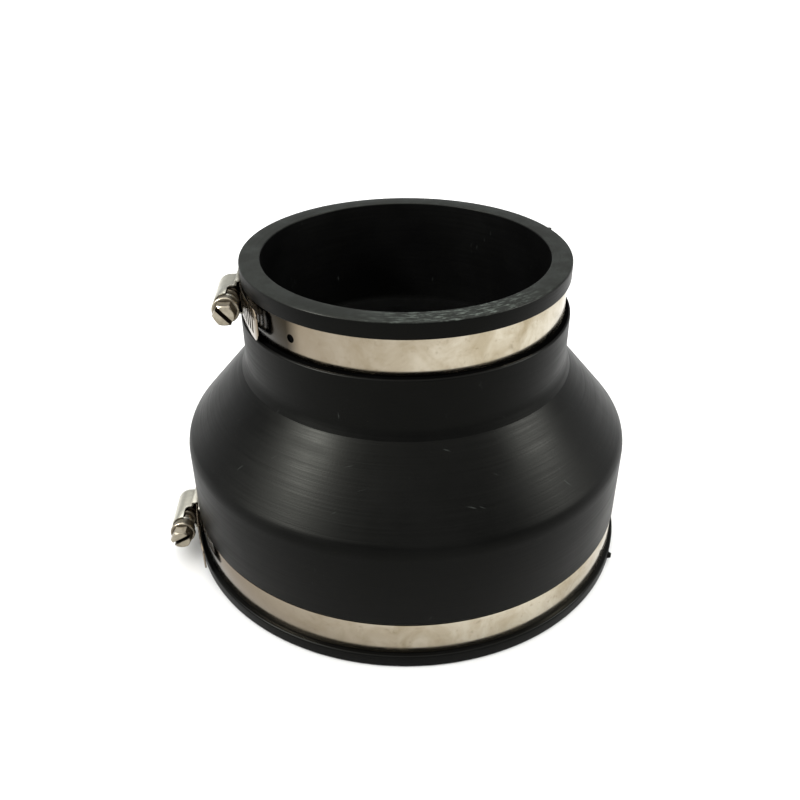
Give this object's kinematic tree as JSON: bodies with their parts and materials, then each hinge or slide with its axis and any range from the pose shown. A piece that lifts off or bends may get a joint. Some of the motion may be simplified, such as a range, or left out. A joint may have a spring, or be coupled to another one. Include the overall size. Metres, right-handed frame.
{
  "type": "flexible reducing pipe coupling",
  "caption": "Flexible black rubber reducing coupling for two plain pipe ends of unequal size, with a stainless worm-drive band clamp in a groove at each end.",
  "frame": {"origin": "centre of the large end's flat face, on the axis of both bores", "axes": "+Z along the bore axis from the large end to the small end; the heads of both clamp screws point along -Y, on the -X side"},
  "size_m": [0.1998, 0.1914, 0.1305],
  "materials": {
    "black_rubber": "satin moulded black rubber, slightly bloomed",
    "band_stainless": "rolled stainless strip, smooth with fine lengthwise grain",
    "pressed_stainless": "pressed stainless sheet, dull",
    "screw_steel": "cold-headed and rolled steel, dull plated"
  },
  "bodies": {
    "sleeve": {"rubber_sleeve": "black_rubber"},
    "small_clamp": {"small_clamp_band": "band_stainless", "small_clamp_saddle": "pressed_stainless", "small_clamp_housing": "pressed_stainless"},
    "small_tail": {"small_clamp_tail": "band_stainless"},
    "small_screw": {"small_clamp_screw": "screw_steel"},
    "large_clamp": {"large_clamp_band": "band_stainless", "large_clamp_saddle": "pressed_stainless", "large_clamp_housing": "pressed_stainless"},
    "large_tail": {"large_clamp_tail": "band_stainless"},
    "large_screw": {"large_clamp_screw": "screw_steel"}
  },
  "joints": [
    {"name": "small_clamp_swivel", "type": "hinge", "parent": "sleeve", "child": "small_clamp", "pos_m": [0, 0, 0.1164], "axis": [0, 0, 1], "continuous": true},
    {"name": "small_screw_turn", "type": "hinge", "parent": "small_clamp", "child": "small_screw", "pos_m": [-0.06958, -0.00609, 0.1164], "axis": [-0.061, 0.9981, 0], "range_deg": [-1080, 1080]},
    {"name": "small_tail_feed", "type": "hinge", "parent": "small_clamp", "child": "small_tail", "pos_m": [0, 0, 0.1164], "axis": [0, 0, 1], "range_deg": [-8.41, 8.41]},
    {"name": "large_clamp_swivel", "type": "hinge", "parent": "sleeve", "child": "large_clamp", "pos_m": [0, 0, 0.013], "axis": [0, 0, 1], "continuous": true},
    {"name": "large_screw_turn", "type": "hinge", "parent": "large_clamp", "child": "large_screw", "pos_m": [-0.09867, -0.01282, 0.013], "axis": [-0.0593, 0.9982, 0], "range_deg": [-1080, 1080]},
    {"name": "large_tail_feed", "type": "hinge", "parent": "large_clamp", "child": "large_tail", "pos_m": [0, 0, 0.013], "axis": [0, 0, 1], "range_deg": [-5.81, 5.81]}
  ],
  "couplings": [
    {"joint": "small_tail_feed", "follows": "small_screw_turn", "ratio": 0.0077401},
    {"joint": "large_tail_feed", "follows": "large_screw_turn", "ratio": 0.0053357}
  ]
}
